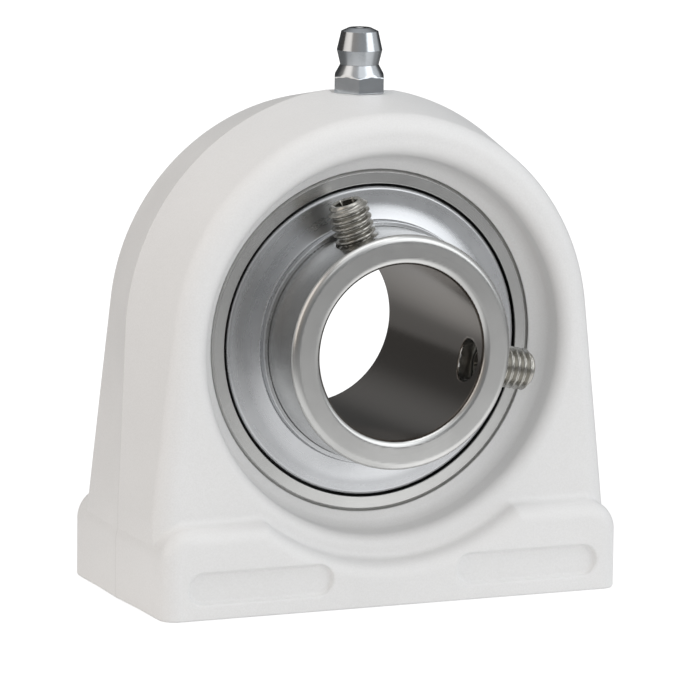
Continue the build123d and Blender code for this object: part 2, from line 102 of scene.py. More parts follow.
SPOT_R = 4.7                   # spot face for the nipple
SPOT_EDGE = 0.25
NIPPLE_X = 1.25
NIPPLE_Z = 71.1
NIPPLE_HOLE_R = 3.02
NIPPLE_SHANK = 5.2             # length of the thread in the housing
PASSAGE_R = 1.3
NIPPLE_HEX_HALF = 3.5
NIPPLE_HEX_TURN = -23.5        # degrees from the front to one corner
NIPPLE_HEX_EDGE = 0.12

# bearing
RING_FRONT = -19.8
RING_REAR = 14.3
RING_R = 16.75
RING_EDGE = 1.0
BORE_EDGE = 1.0
RACE_CENTRE = (19.648, 4.128)  # (radius of the inner race's centre circle, groove radius)
OUTER_RACE = (19.391, 4.128, 3.19)  # the same for the outer race, and its half width
OUTER_LAND_R = 22.0
SEAL_SEAT_R = 22.85
SEAL_SEAT_Y = (7.0, 5.2)       # its two sides, from the centre plane
RING_MOUTH_R = 22.55
RING_FACE_EDGE = 0.12
RING_CHAMFER = 0.4
OUTER_LAND_Y = 3.3             # where the land meets the race
GREASE_GROOVE = (0.5, -3.2, -4.8)  # (depth, y of its two sides) in the outer ring's sphere
SCREW_Y = -14.8
SCREW_TIP = 14.2
SCREW_LENGTH = 8.0
SCREW_R = 3.0
SCREW_HOLE_R = 3.04
SCREW_HOLE_EDGE = 0.2
SCREW_ROOT_R = 2.4
SCREW_PITCH = 1.0
SCREW_POINT = 0.45             # length of the tapered point, and of the other end's chamfer
SCREW_CHAMFER = 0.25
SCREW_RIDGE_GAP = 0.01         # thread crests inside the screw's outside
SCREW_CUP_R = 1.5
SCREW_CUP_DEPTH = 0.8
SCREW_CUP_RIM_R = 1.8
SCREW_STAR = (0.75, 0.4, 0.5)  # (radius, depth, swing) of the five-pointed hollow in the cup
SOCKET_HALF = 1.5
SOCKET_DEPTH = 3.0
SOCKET_TIP = 0.5               # cone left by the drill below the socket
SOCKET_CHAMFER = (0.28, 0.16)  # (width, depth)
SCREW_TURNS = (-18.5, 101.5)   # degrees from +Z towards +X


# ---------------------------------------------------------------- rounded solids as signed distances
def joined(a, b, r):
    """Both solids, with a rounding of radius r in the inside corner."""
    return np.maximum(r, np.minimum(a, b)) - np.hypot(np.maximum(r - a, 0), np.maximum(r - b, 0))


def shared(a, b, r, cosine=0.0):
    """Where both solids are, with a rounding of radius r on the outside corner; cosine is that of the
    angle between the normals of the two surfaces."""
    u, v = r + a, r + b
    arc = np.sqrt(np.maximum(u * u + v * v - 2 * cosine * u * v, 0) / (1 - cosine ** 2)) - r
    return np.where((u > cosine * v) & (v > cosine * u), arc, np.maximum(a, b))


def arch_side(x, z, depth):
    """Arch with tangent sides that run down past the base, drawn in away from the parting plane."""
    radius, centre, foot = (a + (b - a) * depth / BODY_FACE for a, b in (ARCH_R, ARCH_Z, BODY_FOOT))
    drop = centre - PAD_TOP
    lean = np.arccos(radius / np.hypot(foot, drop)) - np.arctan2(drop, foot)
    x, z = np.abs(x), z - centre
    straight = x * np.cos(lean) + z * np.sin(lean) - radius
    return np.where(z * np.cos(lean) > x * np.sin(lean), np.hypot(x, z) - radius, straight)


def line_distance(r, y, start, end):
    """Distance from the line through two (radius, y) points, positive to its right-hand side."""
    run, rise = end[0] - start[0], end[1] - start[1]
    return ((r - start[0]) * rise - (y - start[1]) * run) / hypot(run, rise)


def housing_distance(p):
    """Body, base block, round dish, spherical seat with its loading slots, base slots and holes."""
    x, y, z = p[..., 0], p[..., 1], p[..., 2]
    depth, up = np.abs(y), z - SHAFT_Z
    r = np.hypot(x, up)
    side = arch_side(x, z, depth)
    draw = (arch_side(x, z, depth + 0.01) - side) / 0.01
    steep = np.hypot(1, draw)
    body = shared(side / steep, depth - BODY_FACE, BODY_EDGE, draw / steep)
    body = np.maximum(body, np.abs(x) - BODY_FOOT[0] + depth * BASE_DRAFT)
    block = shared(np.abs(x) - HALF_WIDTH, z - PAD_TOP, BASE_CORNER)
    block = shared(block, PAD_DIP_R - r, PAD_DIP_CORNER, np.clip(-up / np.maximum(r, 1), 0, 0.95))
    block = shared(block + depth * BASE_DRAFT, depth - HALF_BASE, BASE_EDGE)
    root = PAD_ROOT * np.clip((PAD_ROOT_END - np.abs(x)) / PAD_ROOT_FADE, 0.01, 1)
    form = shared(joined(body, block, root), -z, FOOT_EDGE)
    wall = line_distance(r, depth, DISH_FLOOR, DISH_MOUTH)
    floor = line_distance(r, depth, SEAT_MOUTH, DISH_FLOOR)
    form = shared(form, -shared(wall, floor, DISH_ROOT), DISH_LIP)
    form = shared(form, SPHERE_R + SEAT_GAP - np.hypot(r, y), SEAT_EDGE)
    form = shared(form, SEAT_MOUTH[0] - r, SEAT_MOUTH_EDGE)
    notch = np.maximum(np.maximum(r - SPHERE_R - SEAT_GAP, np.abs(up) - SEAT_MOUTH[1] - SEAT_GAP), -y)
    form = shared(form, -notch, NOTCH_EDGE)
    slot = np.hypot(np.maximum(np.abs(np.abs(x) - SLOT_X) - SLOT_HALF, 0), z - SLOT_Z) - SLOT_R
    form = shared(form, -shared(slot, HALF_BASE - SLOT_DEPTH - depth, SLOT_ROOT), SLOT_EDGE)
    post = np.hypot(x - NIPPLE_X, y)
    form = shared(form, -np.maximum(post - SPOT_R, NIPPLE_Z - z), SPOT_EDGE)
    form = np.maximum(form, -np.maximum(post - NIPPLE_HOLE_R, NIPPLE_Z - NIPPLE_SHANK - z))
    form = np.maximum(form, -np.maximum(post - PASSAGE_R, SHAFT_Z - z))
    groove = np.maximum(r - SEAT_GROOVE[0], np.abs(y - SEAT_GROOVE[1]) - SEAT_GROOVE[2])
    form = np.maximum(form, -groove)
    bolt = np.hypot(np.abs(x) - BOLT_X, y)
    form = shared(form, -np.maximum(bolt - INSERT_R, z - INSERT_LENGTH), INSERT_EDGE)
    return np.maximum(form, -np.maximum(bolt - BOLT_HOLE_R, z - RUNOUT_TOP))


def screw_axis(turn):
    """Unit vector outward along a set screw."""
    return np.array((sin(radians(turn)), 0.0, cos(radians(turn))))


def inner_ring_distance(p):
    """Sleeve with rounded ends, the race groove and the two screw holes."""
    x, y, up = p[..., 0], p[..., 1], p[..., 2] - SHAFT_Z
    r = np.hypot(x, up)
    middle, half = (RING_FRONT + RING_REAR) / 2, (RING_REAR - RING_FRONT) / 2
    form = shared(r - RING_R, np.abs(y - middle) - half, RING_EDGE)
    form = shared(form, BORE_R - r, BORE_EDGE)
    form = np.maximum(form, RACE_CENTRE[1] - np.hypot(r - RACE_CENTRE[0], y))
    for turn in SCREW_TURNS:
        axis = screw_axis(turn)
        along = x * axis[0] + up * axis[2]
        across = np.sqrt(np.maximum(x * x + up * up - along * along, 0) + (y - SCREW_Y) ** 2)
        form = shared(form, -np.maximum(across - SCREW_HOLE_R, -along), SCREW_HOLE_EDGE)
    return form


# (radius, height over the spot face) round the nipple's wall; the hexagon is cut from its widest part
NIPPLE_OUTLINE = [(0.8, -5.2), (2.5, -5.2), (3.0, -4.7), (3.0, 0), (7.0, 0), (7.0, 1.4), (3.6, 2.4),
                  (2.75, 3.95), (3.25, 6.05), (2.65, 8.7), (1.6, 9.2), (0.8, 9.2), (1.3, 8.2),
                  (1.3, -4.7), (0.8, -4.7)]


def outline_distance(points, r, z):
    """Signed distance from a closed outline in the (r, z) plane."""
    nearest, inside = np.full(r.shape, np.inf), np.zeros(r.shape, bool)
    for (r0, z0), (r1, z1) in zip(points, points[1:] + points[:1]):
        run, rise = r1 - r0, z1 - z0
        t = np.clip(((r - r0) * run + (z - z0) * rise) / (run * run + rise * rise), 0, 1)
        nearest = np.minimum(nearest, np.hypot(r - r0 - t * run, z - z0 - t * rise))
        if rise:
            crosses = (z0 > z) != (z1 > z)
            inside ^= crosses & (r < r0 + (z - z0) * run / rise)
    return np.where(inside, -nearest, nearest)


def nipple_distance(p):
    """Turned body with the flats of its hexagon."""
    x, y, z = p[..., 0] - NIPPLE_X, p[..., 1], p[..., 2] - NIPPLE_Z
    form = outline_distance(NIPPLE_OUTLINE, np.hypot(x, y), z)
    flats = np.full(x.shape, -np.inf)
    for n in range(3):
        turn = radians(NIPPLE_HEX_TURN - 90 + 30 + 60 * n)
        flats = np.maximum(flats, np.abs(x * cos(turn) + y * sin(turn)) - NIPPLE_HEX_HALF)
    return shared(form, flats, NIPPLE_HEX_EDGE)


# ---------------------------------------------------------------- meshes
def slope(distance, p, step=0.01):
    """Unit gradient of a distance at each point."""
    g = np.empty(p.shape)
    for axis in range(3):
        shift = np.zeros(3)
        shift[axis] = step
        g[:, axis] = distance(p + shift) - distance(p - shift)
    return g / np.maximum(np.linalg.norm(g, axis=1, keepdims=True), 1e-12)


def lines(low, high, cell, *fine):
    """Grid lines a cell apart, or a third of that from the start to the end of each fine stretch."""
    out = [low]
    while out[-1] < high:
        out.append(out[-1] + (cell / 3 if any(a <= out[-1] < b for a, b in fine) else cell))
    return np.array(out)


def surface_of(distance, *axes):
    """Quads on the zero surface of a distance, whose vertices also keep its corners, and corner normals."""
    field = distance(np.stack(np.meshgrid(*axes, indexing="ij"), -1))
    counts = np.array(field.shape) - 1
    sizes = [np.diff(a) for a in axes]
    quads, hits, normals, owners = [], [], [], []
    for axis in range(3):
        # grid edges along this axis that cross the surface, each shared by four cells
        a = np.moveaxis(field, axis, 0)
        at = np.argwhere((a[:-1] < 0) != (a[1:] < 0))
        s0, s1 = a[tuple(at.T)], a[tuple((at + (1, 0, 0)).T)]
        others = [n for n in range(3) if n != axis]
        index = np.empty_like(at)
        index[:, axis], index[:, others[0]], index[:, others[1]] = at[:, 0], at[:, 1], at[:, 2]
        p = np.stack([axes[n][index[:, n]] for n in range(3)], 1)
        cell = sizes[axis][index[:, axis]]
        p[:, axis] += s0 / (s0 - s1) * cell
        n = slope(distance, p)
        error = distance(p)
        p[:, axis] -= np.clip(error * n[:, axis] / np.maximum(n[:, axis] ** 2, 0.04), -cell / 2, cell / 2)
        cells = []
        for da, db in ((0, 0), (1, 0), (1, 1), (0, 1)):
            c = index.copy()
            c[:, others[0]] -= da
            c[:, others[1]] -= db
            cells.append(np.ravel_multi_index(c.T, counts))
        quads.append(np.stack(cells, 1))
        for c in cells:
            owners.append(c)
            hits.append(p)
            normals.append(n)
    owners, hits, normals, quads = map(np.concatenate, (owners, hits, normals, quads))
    # one vertex to a cell: the point that lies nearest to the tangent planes of all its edge crossings
    used, owners = np.unique(owners, return_inverse=True)
    quads = np.searchsorted(used, quads)
    count = np.bincount(owners)[:, None]

    def total(values):
        return np.stack([np.bincount(owners, values[:, n]) for n in range(values.shape[1])], 1)

    middle = total(hits) / count
    outer = (normals[:, :, None] * normals[:, None, :]).reshape(-1, 9)
    offset = ((hits - middle[owners]) * normals).sum(1, keepdims=True)
    matrix = total(outer).reshape(-1, 3, 3) + 0.08 * np.eye(3)
    move = np.linalg.solve(matrix, total(normals * offset)[:, :, None])[:, :, 0]
    at = np.unravel_index(used, counts)
    corner, cell = (np.stack([row[n] for row, n in zip(rows, at)], 1) for rows in (axes, sizes))
    points = np.clip(middle + move, corner - 0.1 * cell, corner + 1.1 * cell)
    # quads turned outward, with the distance's own normals a little inside each corner
    face = points[quads]
    facing = np.cross(face[:, 2] - face[:, 0], face[:, 3] - face[:, 1])
    centre = face.mean(1)
    flip = (facing * slope(distance, centre)).sum(1) < 0
    quads[flip] = quads[flip][:, ::-1]
    corners = (points[quads] * 0.8 + centre[:, None] * 0.2).reshape(-1, 3)
    return points, quads, slope(distance, corners)


def show(name, mesh, material, body, slot, node):
    """A piece of this mesh on its body, in the place of a node; slot is not used."""
    mesh.materials.append(material)
    piece = bpy.data.objects.new(name, mesh)
    bpy.context.scene.collection.objects.link(piece)
    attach(piece, body)
    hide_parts(node)


def mesh_piece(name, points, faces, normals, *place):
    """A shown piece from points in mm, with a normal for each face corner."""
    node = place[-1]
    low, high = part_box(node)
    mesh = bpy.data.meshes.new(name)
    mesh.from_pydata(np.clip(np.asarray(points) * MM, low, high).tolist(), [], np.asarray(faces).tolist())
    mesh.polygons.foreach_set("use_smooth", [True] * len(mesh.polygons))
    mesh.normals_split_custom_set(np.asarray(normals).tolist())
    show(name, mesh, *place)


def softened(points, radii, steps=6):
    """Closed outline with arcs in its corners: a list of (position, normal before, normal after)."""
    n, out = len(points), []
    area = sum(p[0] * q[1] - q[0] * p[1] for p, q in zip(points, points[1:] + points[:1]))
    side = 1 if area > 0 else -1
    for i, spot in enumerate(points):
        spot, before, after = (np.array(q, float) for q in (spot, points[i - 1], points[(i + 1) % n]))
        u, v = spot - before, after - spot
        u, v = u / np.linalg.norm(u), v / np.linalg.norm(v)
        nu, nv = np.array((u[1], -u[0])) * side, np.array((v[1], -v[0])) * side
        size = radii.get(i, 0)
        turn = atan2(u[0] * v[1] - u[1] * v[0], u @ v)
        if not size:
            if abs(turn) < radians(15):
                nu = nv = (nu + nv) / np.linalg.norm(nu + nv)
            out.append((spot, nu, nv))
            continue
        back = size * tan(abs(turn) / 2)
        bend = 1 if turn * side > 0 else -1
        centre = spot - u * back - nu * size * bend
        for k in range(steps + 1):
            a = turn * k / steps
            normal = np.array((nu[0] * cos(a) - nu[1] * sin(a), nu[0] * sin(a) + nu[1] * cos(a)))
            out.append((centre + normal * size * bend, normal, normal))
    return out


def turned(name, points, radii, *place, segments=256):
    """A ring turned about the shaft axis from a closed (radius, y) outline."""
    outline = softened(points, radii)
    count = len(outline)
    turns = np.arange(segments) * 2 * pi / segments
    verts = np.array([(p[0] * sin(t), p[1], SHAFT_Z + p[0] * cos(t)) for t in turns for p, _, _ in outline])
    faces, normals = [], []
    for s in range(segments):
        s2, t, t2 = (s + 1) % segments, turns[s], turns[s] + 2 * pi / segments
        for i in range(count):
            j = (i + 1) % count
            if np.linalg.norm(outline[i][0] - outline[j][0]) < 1e-6:
                continue
            face = [s * count + i, s * count + j, s2 * count + j, s2 * count + i]
            here = [(outline[i][2], t), (outline[j][1], t), (outline[j][1], t2), (outline[i][2], t2)]
            faces.append(face)
            normals.append([(m[0] * sin(a), m[1], m[0] * cos(a)) for m, a in here])
    verts_of = verts[np.array(faces)]
    facing = np.cross(verts_of[:, 2] - verts_of[:, 0], verts_of[:, 3] - verts_of[:, 1])
    flip = (facing * np.array(normals).mean(1)).sum(1) < 0
    faces = [f[::-1] if turn else f for f, turn in zip(faces, flip)]
    normals = [c for n, turn in zip(normals, flip) for c in (n[::-1] if turn else n)]
    mesh_piece(name, verts, faces, normals, *place)


# ---------------------------------------------------------------- shader parts
STEEL_TONE = 0.06              # how far steel drifts to either side of its colour


def add_node(tree, kind, inputs=None, **settings):
    """A node with its inputs set from values or linked from sockets."""
    made = tree.nodes.new(kind)
    for key, value in settings.items():
        setattr(made, key, value)
    for key, value in (inputs or {}).items():
        if isinstance(value, bpy.types.NodeSocket):
            tree.links.new(value, made.inputs[key])
        else:
            made.inputs[key].default_value = value
    return made


def math_node(tree, operation, *values):
    """The result of a Math node on values or sockets."""
    return add_node(tree, "ShaderNodeMath", dict(enumerate(values)), operation=operation).outputs[0]


def mixed(tree, factor, low, high):
    """A colour that goes from low to high as factor goes from 0 to 1; each is a socket or three numbers."""
    low, high = ((*c, 1) if isinstance(c, tuple) else c for c in (low, high))
    return add_node(tree, "ShaderNodeMix", {0: factor, 6: low, 7: high}, data_type="RGBA").outputs[2]


def ramp(tree, value, low, high, start, end, kind="SMOOTHSTEP"):
    """A value that goes from start to end as another goes from low to high."""
    inputs = {"Value": value, "From Min": low, "From Max": high, "To Min": start, "To Max": end}
    return add_node(tree, "ShaderNodeMapRange", inputs, interpolation_type=kind).outputs[0]


def azimuth_of(tree, parts):
    """Angle round the vertical of a split vector, 0 straight in front and positive to the right."""
    return math_node(tree, "ARCTAN2", parts["X"], math_node(tree, "MULTIPLY", parts["Y"], -1.0))


def shader_group(name, inputs, outputs):
    """An empty shader node group with named float inputs and outputs."""
    group = bpy.data.node_groups.new(name, "ShaderNodeTree")
    for key, value in inputs.items():
        socket = group.interface.new_socket(key, in_out="INPUT", socket_type="NodeSocketFloat")
        socket.default_value = value
    for key in outputs:
        group.interface.new_socket(key, in_out="OUTPUT", socket_type="NodeSocketFloat")
    return group, group.nodes.new("NodeGroupInput").outputs, group.nodes.new("NodeGroupOutput").inputs


def build_polar():
    """Radius from the shaft axis, angle round it and distance along it, in metres and radians."""
    group, _, out = shader_group("shaft_polar", {}, ("Radius", "Angle", "Along"))
    place = add_node(group, "ShaderNodeTexCoord").outputs["Object"]
    parts = add_node(group, "ShaderNodeSeparateXYZ", {0: place}).outputs
    up = math_node(group, "SUBTRACT", parts["Z"], SHAFT_Z * MM)
    squares = [math_node(group, "MULTIPLY", side, side) for side in (parts["X"], up)]
    group.links.new(math_node(group, "SQRT", math_node(group, "ADD", *squares)), out["Radius"])
    group.links.new(math_node(group, "ARCTAN2", parts["X"], up), out["Angle"])
    group.links.new(parts["Y"], out["Along"])
    return group


def build_turned_lines(polar):
    """Fine lines left by a tool round the shaft axis: Lines is their height and Bands a slower drift."""
    group, inp, out = shader_group("turned_lines", {"Pitch": 9000.0, "Drift": 0.6}, ("Lines", "Bands"))
    at = add_node(group, "ShaderNodeGroup", node_tree=polar).outputs
    across = math_node(group, "MULTIPLY", math_node(group, "ADD", at["Radius"], at["Along"]), inp["Pitch"])
    apart = math_node(group, "MULTIPLY", math_node(group, "SUBTRACT", at["Radius"], at["Along"]), inp["Pitch"])
    round_ = math_node(group, "MULTIPLY", math_node(group, "SINE", at["Angle"]), inp["Drift"])
    place = add_node(group, "ShaderNodeCombineXYZ", {0: across, 1: apart, 2: round_}).outputs[0]
    fine = add_node(group, "ShaderNodeTexNoise", {"Vector": place, "Scale": 1.0, "Detail": 2.0})
    group.links.new(fine.outputs["Fac"], out["Lines"])
    slow = add_node(group, "ShaderNodeTexNoise", {"Vector": place, "Scale": 0.12, "Detail": 3.0})
    group.links.new(slow.outputs["Fac"], out["Bands"])
    return group


def build_grain():
    """Even fine grain and a broad mottle on the piece's own coordinates."""
    group, inp, out = shader_group("surface_grain", {"Fine": 3000.0, "Broad": 120.0}, ("Grain", "Mottle"))
    place = add_node(group, "ShaderNodeTexCoord").outputs["Object"]
    fine = add_node(group, "ShaderNodeTexNoise", {"Vector": place, "Scale": inp["Fine"], "Detail": 3.0})
    group.links.new(fine.outputs["Fac"], out["Grain"])
    broad = add_node(group, "ShaderNodeTexNoise", {"Vector": place, "Scale": inp["Broad"], "Detail": 4.0,
                                                  "Roughness": 0.6})
    group.links.new(broad.outputs["Fac"], out["Mottle"])
    return group


def build_parting_line(polar):
    """A fine witness line where the mould halves meet, on the outside of the housing only."""
    group, inp, out = shader_group("parting_line", {"Width": 0.00016}, ("Line",))
    at = add_node(group, "ShaderNodeGroup", node_tree=polar).outputs
    sharp = math_node(group, "DIVIDE", math_node(group, "ABSOLUTE", at["Along"]), inp["Width"])
    line = math_node(group, "SUBTRACT", 1.0, math_node(group, "MINIMUM", sharp, 1.0))
    outside = math_node(group, "GREATER_THAN", at["Radius"], SEAM_START * MM)
    group.links.new(math_node(group, "MULTIPLY", line, outside), out["Line"])
    return group


polar = build_polar()
turned_lines = build_turned_lines(polar)
surface_grain = build_grain()
parting_line = build_parting_line(polar)


def new_material(name, colour, roughness, metallic):
    """A material with a Principled shader; returns it, its tree and the shader."""
    material = bpy.data.materials.new(name)
    material.use_nodes = True
    shader = material.node_tree.nodes["Principled BSDF"]
    shader.inputs["Base Color"].default_value = (*colour, 1)
    shader.inputs["Roughness"].default_value = roughness
    shader.inputs["Metallic"].default_value = metallic
    return material, material.node_tree, shader


def between(tree, factor, low, high):
    """A colour or value that goes from low to high as factor goes from 0.3 to 0.7."""
    if isinstance(low, tuple):
        return mixed(tree, ramp(tree, factor, 0.3, 0.7, 0.0, 1.0, "LINEAR"), low, high)
    return ramp(tree, factor, 0.3, 0.7, low, high, "LINEAR")


def bump(tree, shader, height, strength, distance, below=None):
    """Bump from a height, on top of another bump's normal if one is given."""
    inputs = {"Height": height, "Strength": strength, "Distance": distance}
    if below:
        inputs["Normal"] = below
    normal = add_node(tree, "ShaderNodeBump", inputs).outputs[0]
    tree.links.new(normal, shader.inputs["Normal"])
    return normal


def moulded_plastic():
    """White thermoplastic with a fine speckle, a broad mottle and the mould's parting line."""
    material, tree, shader = new_material("moulded_white_thermoplastic", (0.87, 0.87, 0.87), 0.42, 0.0)
    grain = add_node(tree, "ShaderNodeGroup", {"Fine": 4200.0, "Broad": 55.0}, node_tree=surface_grain).outputs
    line = add_node(tree, "ShaderNodeGroup", node_tree=parting_line).outputs
    tint = between(tree, grain["Mottle"], (0.86, 0.86, 0.858), (0.885, 0.885, 0.885))
    speckle = between(tree, grain["Grain"], (0.975, 0.974, 0.97), (1.025, 1.025, 1.025))
    tint = add_node(tree, "ShaderNodeMix", {0: 1.0, 6: tint, 7: speckle}, data_type="RGBA",
                    blend_type="MULTIPLY").outputs[2]
    tint = mixed(tree, math_node(tree, "MULTIPLY", line["Line"], 0.22), tint, (0.42, 0.40, 0.37))
    tree.links.new(tint, shader.inputs["Base Color"])
    tree.links.new(between(tree, grain["Mottle"], 0.38, 0.48), shader.inputs["Roughness"])
    low = bump(tree, shader, grain["Grain"], 0.5, 0.00003)
    bump(tree, shader, line["Line"], 0.5, 0.00006, low)
    return material


def steel(name, colour, rough, lines=0.15, grain=0.1, core=None):
    """Turned or pressed steel: lines round the axis, a fine grain and a drifting tone; core is (a radius from
    the shaft axis in mm, a colour, a roughness), and that colour and roughness show within the radius: a
    darker, browner bore on the ring, and painted shade on a set screw's cup point down in its hole."""
    material, tree, shader = new_material(name, colour, rough, 1.0)
    tool = add_node(tree, "ShaderNodeGroup", node_tree=turned_lines).outputs
    skin = add_node(tree, "ShaderNodeGroup", {"Fine": 2500.0, "Broad": 160.0}, node_tree=surface_grain).outputs
    dark, light = (tuple(c * (1 + change) for c in colour) for change in (-STEEL_TONE, STEEL_TONE))
    tint = between(tree, skin["Mottle"], dark, light)
    blend = math_node(tree, "ADD", math_node(tree, "MULTIPLY", tool["Bands"], 0.5),
                      math_node(tree, "MULTIPLY", skin["Mottle"], 0.5))
    polish = between(tree, blend, rough * 0.85, rough * 1.2)
    if core:
        reach, core_colour, core_rough = core
        radius = add_node(tree, "ShaderNodeGroup", node_tree=polar).outputs["Radius"]
        inside = ramp(tree, radius, (reach + 0.05) * MM, (reach + 0.3) * MM, 1.0, 0.0)
        tint = mixed(tree, inside, tint, core_colour)
        polish = add_node(tree, "ShaderNodeMix", {0: inside, 2: polish, 3: core_rough}).outputs[0]
    tree.links.new(tint, shader.inputs["Base Color"])
    tree.links.new(polish, shader.inputs["Roughness"])
    low = bump(tree, shader, tool["Lines"], lines, 0.00002)
    if grain:
        bump(tree, shader, skin["Grain"], grain, 0.00002, low)
    return material


def black_rubber():
    """Matt nitrile with a fine grain."""
    material, tree, shader = new_material("black_nitrile", (0.018, 0.018, 0.018), 0.6, 0.0)
    skin = add_node(tree, "ShaderNodeGroup", {"Fine": 1800.0, "Broad": 200.0}, node_tree=surface_grain).outputs
    tree.links.new(between(tree, skin["Mottle"], (0.014, 0.014, 0.014), (0.026, 0.026, 0.025)),
                   shader.inputs["Base Color"])
    bump(tree, shader, skin["Grain"], 0.3, 0.00003)
    return material


plastic = moulded_plastic()
ring_steel = steel("ground_bearing_steel", (0.60, 0.60, 0.59), 0.23, core=(BORE_R, (0.475, 0.445, 0.415), 0.2))
flinger_steel = steel("satin_pressed_steel", (0.60, 0.61, 0.625), 0.27, lines=0.05, grain=0.2)
sheet_steel = steel("cage_sheet", (0.45, 0.45, 0.45), 0.35)
ball_steel = steel("polished_ball", (0.68, 0.68, 0.68), 0.08, lines=0.0, grain=0.02)
spring_steel = steel("spring_wire", (0.45, 0.45, 0.45), 0.3)
# Painted shade: the cup point, down in its hole in the inner ring, is coloured near black within SCREW_TIP +
# 0.35 of the shaft axis.
screw_steel = steel("rolled_stainless_painted_tip_shade", (0.43, 0.42, 0.39), 0.24, lines=0.05, grain=0.3,
                    core=(SCREW_TIP + 0.35, (0.13, 0.125, 0.11), 0.3))
nipple_steel = steel("zinc_plate", (0.62, 0.65, 0.68), 0.18, lines=0.05, grain=0.15)
insert_steel = steel("turned_stainless", (0.55, 0.55, 0.54), 0.28)
rubber = black_rubber()

# ---------------------------------------------------------------- pieces turned or moulded
points, faces, normals = surface_of(housing_distance, lines(-36.0, 36.0, 0.45),
                                    lines(-19.0, 19.0, 0.45, (-18.9, -17.2), (17.2, 18.6)),
                                    lines(-0.7, 72.2, 0.45, (1.9, 7.0)))
mesh_piece("housing_body", points, faces, normals, plastic, "housing_unit", "housing_plastic",
           "housing")
points, faces, normals = surface_of(inner_ring_distance, lines(-17.3, 17.3, 0.34), lines(-20.3, 14.8, 0.34),
                                    lines(SHAFT_Z - 17.3, SHAFT_Z + 17.3, 0.34))
mesh_piece("inner_race_ring", points, faces, normals, ring_steel, "inner_race", "ring_steel", "inner_ring")
points, faces, normals = surface_of(nipple_distance, lines(NIPPLE_X - 4.4, NIPPLE_X + 4.4, 0.12),
                                    lines(-4.4, 4.4, 0.12), lines(NIPPLE_Z - 5.4, NIPPLE_Z + 9.5, 0.12))
mesh_piece("grease_nipple_body", points, faces, normals, nipple_steel, "housing_unit", "nipple_steel",
           "grease_nipple")


def outer_ring_outline():
    """Outline of the outer ring: sphere with its grease groove outside; mouths, seal seats, lands and race
    inside."""
    edge, face = SEAT_MOUTH
    depth, start, end = GREASE_GROOVE
    arc = [(sqrt(SPHERE_R ** 2 - y * y), y) for y in np.linspace(face - RING_CHAMFER, start, 29)]
    arc += [(SPHERE_R - depth, start), (SPHERE_R - depth, end)]
    arc += [(sqrt(SPHERE_R ** 2 - y * y), y) for y in np.linspace(end, RING_CHAMFER - face, 9)]
    near, far = SEAL_SEAT_Y
    inside = [(edge - RING_CHAMFER, -face), (RING_MOUTH_R, -face), (RING_MOUTH_R, -near),
              (SEAL_SEAT_R, -near), (SEAL_SEAT_R, -far), (OUTER_LAND_R, -far)]
    centre, groove, half = OUTER_RACE
    race = [(centre + sqrt(groove ** 2 - y * y), y) for y in np.linspace(-half, half, 21)]
    race = [(OUTER_LAND_R, -OUTER_LAND_Y)] + race + [(OUTER_LAND_R, OUTER_LAND_Y)]
    return arc + inside + race + [(r, -y) for r, y in reversed(inside)]


ring = outer_ring_outline()
on_face = [i for i, (r, y) in enumerate(ring) if r < SEAT_MOUTH[0] and abs(y) == SEAT_MOUTH[1]]
rounds = {i: RING_FACE_EDGE for i in on_face}
turned("outer_race_ring", ring, rounds, ring_steel, "outer_race", "ring_steel", "outer_ring")


def flinger_outline(side):
    """Disc with a turned-back rim and a collar on the inner ring; side is -1 at the front."""
    shape = [(16.76, -10.6), (17.46, -10.6), (17.46, -9.16), (19.0, -8.6), (22.25, -8.6), (22.25, -7.25),
             (21.55, -7.25), (21.55, -8.0), (17.46, -7.65), (16.76, -7.65)]
    return [(r, -y * side) for r, y in shape]


rounds = {0: 0.15, 1: 0.2, 2: 0.25, 3: 8.0, 4: 0.6, 5: 0.2, 6: 0.2}
for side, name in ((-1, "front"), (1, "rear")):
    turned(f"flinger_disc_{name}", flinger_outline(side), rounds, flinger_steel, "inner_race",
           "flinger_steel", f"flinger_{name}")


# ---------------------------------------------------------------- threads
THREAD_FLANK = (0.14, 0.86)    # share of the way from root to crest where a flank starts and ends
THREAD_SHARP = 0.55            # share of straight flanks, the rest being rounded ones


